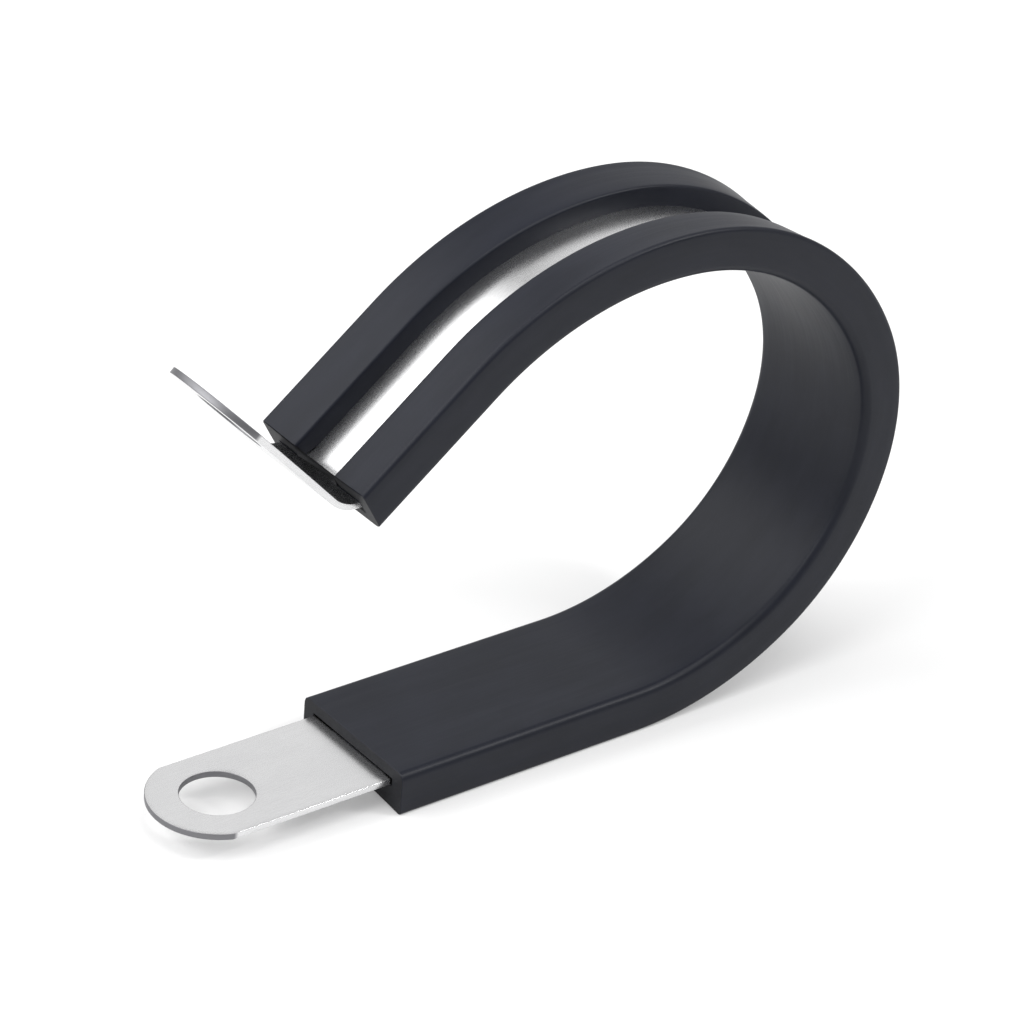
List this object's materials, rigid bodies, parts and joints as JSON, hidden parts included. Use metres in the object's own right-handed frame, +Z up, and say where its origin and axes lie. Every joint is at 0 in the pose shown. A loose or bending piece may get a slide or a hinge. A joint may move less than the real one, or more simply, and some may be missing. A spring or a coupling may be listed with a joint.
{
  "type": "p clip",
  "caption": "Cable and hose clip: a steel strip with a drilled round tab at each end, bent into an open loop, with a rubber lining folded over the strip's edges.",
  "frame": {"origin": "centre of the screw hole in the lower tab, on the tab's lower face", "axes": "+X along the lower leg from its tab to the loop, +Y along the loop's axis, +Z up out of the lower tab"},
  "size_m": [0.0758, 0.0154, 0.0509],
  "materials": {
    "strip": "satin stainless steel with a fine rolled grain",
    "lining": "smooth extruded synthetic rubber with a soft sheen"
  },
  "bodies": {
    "root": {"strip": "strip", "lining": "lining"}
  },
  "joints": []
}
